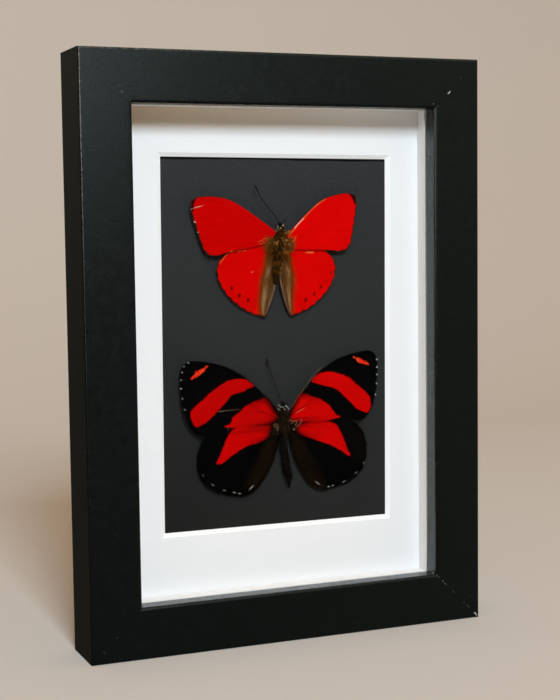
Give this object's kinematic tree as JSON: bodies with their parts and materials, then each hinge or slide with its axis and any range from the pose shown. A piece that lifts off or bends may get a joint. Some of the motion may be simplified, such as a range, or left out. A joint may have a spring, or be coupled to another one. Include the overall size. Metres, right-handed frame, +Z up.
{
  "type": "framed butterfly specimen",
  "caption": "Shallow black box frame with glass, a white bevelled mat and dried, spread butterflies fixed on a dark card; stands on its lower edge or hangs on a nail.",
  "frame": {"origin": "middle of the frame's underside, halfway through its depth", "axes": "+X across the frame to the viewer's right, +Y from the front face to the back, +Z up"},
  "size_m": [0.128, 0.0202, 0.177],
  "materials": {
    "black_lacquer": "satin black lacquer over wood, fine texture, small pale chips at the mitres",
    "clear_glass": "clear float glass, 1.5 mm",
    "white_card": "matt cool white mount board",
    "black_card": "matt charcoal card with fine fibre",
    "brown_hardboard": "brown hardboard, smooth face out",
    "zinc_steel": "zinc-plated sheet steel",
    "red_wing": "matt blood-red scaled wing membrane, brown anal folds",
    "black_wing": "velvet-black scaled wing membrane with red bands and white fringe spots",
    "golden_hair": "golden-brown hairs over a dark body",
    "dark_fur": "short dark-brown hairs over a black body",
    "antenna": "near-black dry antenna"
  },
  "bodies": {
    "root": {"rail_bottom": "black_lacquer", "rail_left": "black_lacquer", "rail_top": "black_lacquer", "rail_right": "black_lacquer", "glass_pane": "clear_glass", "spacer_left": "white_card", "spacer_right": "white_card", "spacer_bottom": "white_card", "spacer_top": "white_card", "mat_board": "white_card", "backing_card": "black_card", "back_panel": "brown_hardboard", "tab_left_lower": "zinc_steel", "tab_left_upper": "zinc_steel", "tab_right_lower": "zinc_steel", "tab_right_upper": "zinc_steel", "tab_bottom": "zinc_steel", "tab_top": "zinc_steel", "sawtooth_hanger": "zinc_steel", "hanger_rivet_left": "zinc_steel", "hanger_rivet_right": "zinc_steel", "upper_butterfly_body": "golden_hair", "upper_butterfly_forewing_left": "red_wing", "upper_butterfly_forewing_right": "red_wing", "upper_butterfly_hindwing_left": "red_wing", "upper_butterfly_hindwing_right": "red_wing", "upper_butterfly_antenna": "antenna", "lower_butterfly_body": "dark_fur", "lower_butterfly_forewing_left": "black_wing", "lower_butterfly_forewing_right": "black_wing", "lower_butterfly_hindwing_left": "black_wing", "lower_butterfly_hindwing_right": "black_wing", "lower_butterfly_antenna": "antenna"}
  },
  "joints": []
}
